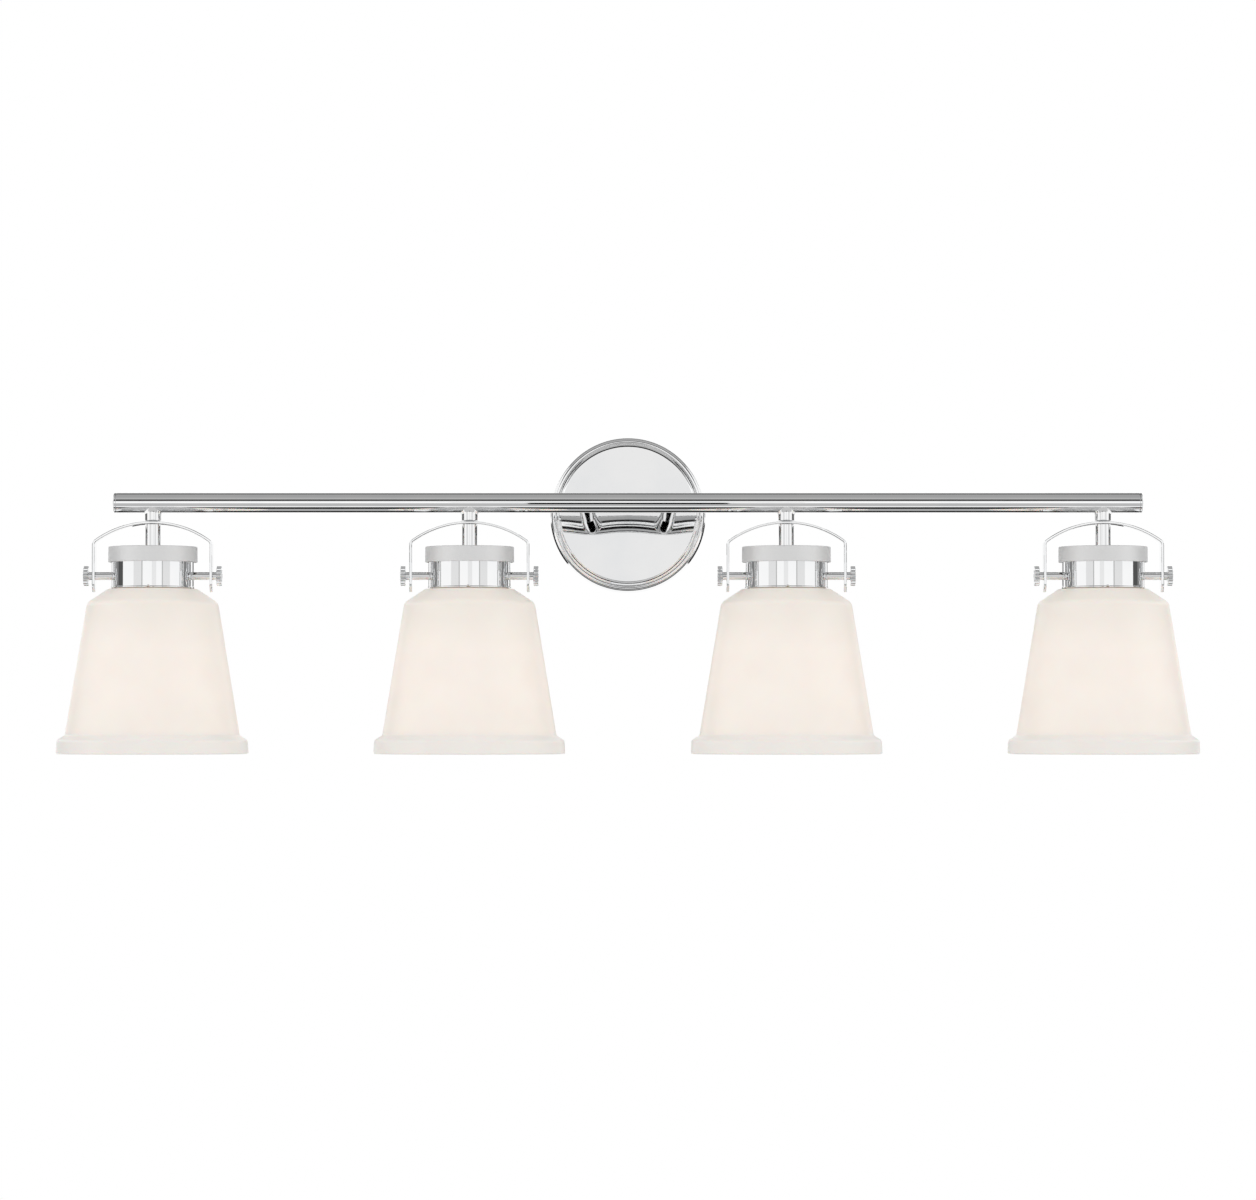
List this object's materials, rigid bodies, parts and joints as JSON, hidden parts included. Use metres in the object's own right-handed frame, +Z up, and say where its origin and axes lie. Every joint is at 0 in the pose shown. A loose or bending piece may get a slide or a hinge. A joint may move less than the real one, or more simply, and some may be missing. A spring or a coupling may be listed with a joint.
{
  "type": "vanity light bar",
  "caption": "Wall-mounted vanity light bar: chrome tube on a round backplate, with downward opal glass bell shades held in strap yokes by thumbscrews.",
  "frame": {"origin": "centre of the backplate on the wall plane, level with the bar's axis", "axes": "+X along the bar to the right as seen from the room, +Y into the wall, +Z up"},
  "size_m": [0.8124, 0.2541, 0.2373],
  "materials": {
    "chrome": "polished chrome plate",
    "satin_grey": "satin light grey",
    "opal_glass": "etched opal, warm white",
    "lamp_glass": "frosted inside",
    "phenolic": "moulded phenolic",
    "zinc_steel": "bright zinc plate",
    "lead_white": "extruded insulation",
    "ground_green": "green lacquered steel"
  },
  "bodies": {
    "root": {"backplate": "chrome", "crossbar": "zinc_steel", "ground_screw": "ground_green", "set_screw_left": "zinc_steel", "set_screw_right": "zinc_steel", "arm_left": "chrome", "arm_right": "chrome", "arm_nut_left": "zinc_steel", "arm_nut_right": "zinc_steel", "bar": "chrome", "end_plug_left": "chrome", "end_plug_right": "chrome", "collar_1": "chrome", "strap_1": "chrome", "stem_1": "chrome", "cap_1": "satin_grey", "holder_1": "chrome", "nipple_1": "zinc_steel", "shade_1": "opal_glass", "socket_1": "phenolic", "lead_1": "lead_white", "collar_2": "chrome", "strap_2": "chrome", "stem_2": "chrome", "cap_2": "satin_grey", "holder_2": "chrome", "nipple_2": "zinc_steel", "shade_2": "opal_glass", "socket_2": "phenolic", "lead_2": "lead_white", "collar_3": "chrome", "strap_3": "chrome", "stem_3": "chrome", "cap_3": "satin_grey", "holder_3": "chrome", "nipple_3": "zinc_steel", "shade_3": "opal_glass", "socket_3": "phenolic", "lead_3": "lead_white", "collar_4": "chrome", "strap_4": "chrome", "stem_4": "chrome", "cap_4": "satin_grey", "holder_4": "chrome", "nipple_4": "zinc_steel", "shade_4": "opal_glass", "socket_4": "phenolic", "lead_4": "lead_white"},
    "bulb_1": {"bulb_1": "lamp_glass"},
    "thumbscrew_left_1": {"thumbscrew_left_1": "chrome"},
    "thumbscrew_right_1": {"thumbscrew_right_1": "chrome"},
    "bulb_2": {"bulb_2": "lamp_glass"},
    "thumbscrew_left_2": {"thumbscrew_left_2": "chrome"},
    "thumbscrew_right_2": {"thumbscrew_right_2": "chrome"},
    "bulb_3": {"bulb_3": "lamp_glass"},
    "thumbscrew_left_3": {"thumbscrew_left_3": "chrome"},
    "thumbscrew_right_3": {"thumbscrew_right_3": "chrome"},
    "bulb_4": {"bulb_4": "lamp_glass"},
    "thumbscrew_left_4": {"thumbscrew_left_4": "chrome"},
    "thumbscrew_right_4": {"thumbscrew_right_4": "chrome"}
  },
  "joints": [
    {"name": "bulb_1_unscrew", "type": "hinge", "parent": "root", "child": "bulb_1", "pos_m": [-0.3381, -0.186, -0.06], "axis": [0, 0, -1], "range_deg": [0, 810]},
    {"name": "thumbscrew_left_1_turn", "type": "hinge", "parent": "root", "child": "thumbscrew_left_1", "pos_m": [-0.3851, -0.186, -0.0521], "axis": [-1, 0, 0], "range_deg": [0, 900]},
    {"name": "thumbscrew_right_1_turn", "type": "hinge", "parent": "root", "child": "thumbscrew_right_1", "pos_m": [-0.2911, -0.186, -0.0521], "axis": [1, 0, 0], "range_deg": [0, 900]},
    {"name": "bulb_2_unscrew", "type": "hinge", "parent": "root", "child": "bulb_2", "pos_m": [-0.1127, -0.186, -0.06], "axis": [0, 0, -1], "range_deg": [0, 810]},
    {"name": "thumbscrew_left_2_turn", "type": "hinge", "parent": "root", "child": "thumbscrew_left_2", "pos_m": [-0.1597, -0.186, -0.0521], "axis": [-1, 0, 0], "range_deg": [0, 900]},
    {"name": "thumbscrew_right_2_turn", "type": "hinge", "parent": "root", "child": "thumbscrew_right_2", "pos_m": [-0.0657, -0.186, -0.0521], "axis": [1, 0, 0], "range_deg": [0, 900]},
    {"name": "bulb_3_unscrew", "type": "hinge", "parent": "root", "child": "bulb_3", "pos_m": [0.1127, -0.186, -0.06], "axis": [0, 0, -1], "range_deg": [0, 810]},
    {"name": "thumbscrew_left_3_turn", "type": "hinge", "parent": "root", "child": "thumbscrew_left_3", "pos_m": [0.0657, -0.186, -0.0521], "axis": [-1, 0, 0], "range_deg": [0, 900]},
    {"name": "thumbscrew_right_3_turn", "type": "hinge", "parent": "root", "child": "thumbscrew_right_3", "pos_m": [0.1597, -0.186, -0.0521], "axis": [1, 0, 0], "range_deg": [0, 900]},
    {"name": "bulb_4_unscrew", "type": "hinge", "parent": "root", "child": "bulb_4", "pos_m": [0.3381, -0.186, -0.06], "axis": [0, 0, -1], "range_deg": [0, 810]},
    {"name": "thumbscrew_left_4_turn", "type": "hinge", "parent": "root", "child": "thumbscrew_left_4", "pos_m": [0.2911, -0.186, -0.0521], "axis": [-1, 0, 0], "range_deg": [0, 900]},
    {"name": "thumbscrew_right_4_turn", "type": "hinge", "parent": "root", "child": "thumbscrew_right_4", "pos_m": [0.3851, -0.186, -0.0521], "axis": [1, 0, 0], "range_deg": [0, 900]}
  ]
}
